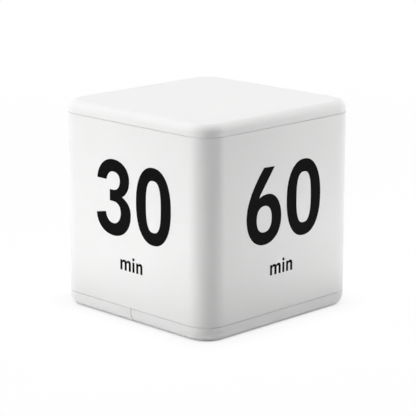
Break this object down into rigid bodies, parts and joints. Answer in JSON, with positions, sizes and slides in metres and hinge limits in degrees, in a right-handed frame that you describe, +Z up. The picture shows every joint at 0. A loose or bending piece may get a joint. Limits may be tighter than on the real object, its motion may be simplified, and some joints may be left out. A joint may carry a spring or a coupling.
{
  "type": "cube timer",
  "caption": "White rounded cube timer with a number of minutes on each of its sides, a display and switches under its base, and a sliding battery door.",
  "frame": {"origin": "centre of the base face, which the cube stands on", "axes": "+Z up through the bare top; -Y is the side numbered 30, +X the side numbered 60, +Y the side numbered 15 and -X the side numbered 20"},
  "size_m": [0.0636, 0.0636, 0.0635],
  "materials": {
    "white_plastic": "satin injection-moulded white",
    "number_ink": "matt black printed ink",
    "black_plastic": "moulded black",
    "clear_plastic": "clear moulded lens",
    "display_glass": "grey-green liquid crystal cell",
    "rubber": "layered connector rubber",
    "circuit_board": "green solder mask",
    "steel": "zinc-plated steel",
    "nickel": "nickel-plated steel",
    "brass": "plain brass",
    "cell_jacket": "printed film over a steel can",
    "red_insulation": "soft wire insulation",
    "black_insulation": "soft wire insulation"
  },
  "bodies": {
    "timer_case": {"body_shell": "white_plastic", "top_cap": "white_plastic", "base_cover": "white_plastic", "number_30_digit_3": "number_ink", "number_30_digit_0": "number_ink", "number_60_digit_6": "number_ink", "number_60_digit_0": "number_ink", "number_15_digit_1": "number_ink", "number_15_digit_5": "number_ink", "number_20_digit_2": "number_ink", "number_20_digit_0": "number_ink", "lcd_holder": "black_plastic", "buzzer_case": "black_plastic", "controller_blob": "black_plastic", "capacitor": "black_plastic", "tilt_base_30": "black_plastic", "tilt_base_60": "black_plastic", "tilt_base_15": "black_plastic", "tilt_base_20": "black_plastic", "lcd_window": "clear_plastic", "lcd_glass": "display_glass", "zebra_strip_1": "rubber", "zebra_strip_2": "rubber", "main_board": "circuit_board", "case_screw_1": "steel", "case_screw_2": "steel", "board_screw_1": "steel", "board_screw_2": "steel", "board_screw_3": "steel", "negative_spring": "steel", "series_spring": "steel", "power_switch_body": "steel", "volume_switch_body": "steel", "positive_plate": "nickel", "negative_plate": "nickel", "series_plate": "nickel", "crystal_can": "nickel", "tilt_can_30": "nickel", "tilt_can_60": "nickel", "tilt_can_15": "nickel", "tilt_can_20": "nickel", "buzzer_disc": "brass", "battery_1": "cell_jacket", "battery_2": "cell_jacket", "battery_lead_red": "red_insulation", "buzzer_lead_red": "red_insulation", "battery_lead_black": "black_insulation", "buzzer_lead_black": "black_insulation"},
    "battery_door": {"battery_door": "white_plastic"},
    "power_switch_knob": {"power_switch_knob": "black_plastic"},
    "volume_switch_knob": {"volume_switch_knob": "black_plastic"},
    "tilt_ball_30": {"tilt_ball_30": "steel"},
    "tilt_ball_60": {"tilt_ball_60": "steel"},
    "tilt_ball_15": {"tilt_ball_15": "steel"},
    "tilt_ball_20": {"tilt_ball_20": "steel"}
  },
  "joints": [
    {"name": "battery_door_slide", "type": "slide", "parent": "timer_case", "child": "battery_door", "axis": [-1, 0, 0], "range_m": [0, 0.03]},
    {"name": "power_switch_slide", "type": "slide", "parent": "timer_case", "child": "power_switch_knob", "axis": [1, 0, 0], "range_m": [0, 0.002]},
    {"name": "volume_switch_slide", "type": "slide", "parent": "timer_case", "child": "volume_switch_knob", "axis": [1, 0, 0], "range_m": [0, 0.002]},
    {"name": "tilt_ball_30_roll", "type": "slide", "parent": "timer_case", "child": "tilt_ball_30", "axis": [0, -1, 0], "range_m": [0, 0.0033]},
    {"name": "tilt_ball_60_roll", "type": "slide", "parent": "timer_case", "child": "tilt_ball_60", "axis": [1, 0, 0], "range_m": [0, 0.0033]},
    {"name": "tilt_ball_15_roll", "type": "slide", "parent": "timer_case", "child": "tilt_ball_15", "axis": [0, 1, 0], "range_m": [0, 0.0033]},
    {"name": "tilt_ball_20_roll", "type": "slide", "parent": "timer_case", "child": "tilt_ball_20", "axis": [-1, 0, 0], "range_m": [0, 0.0033]}
  ]
}
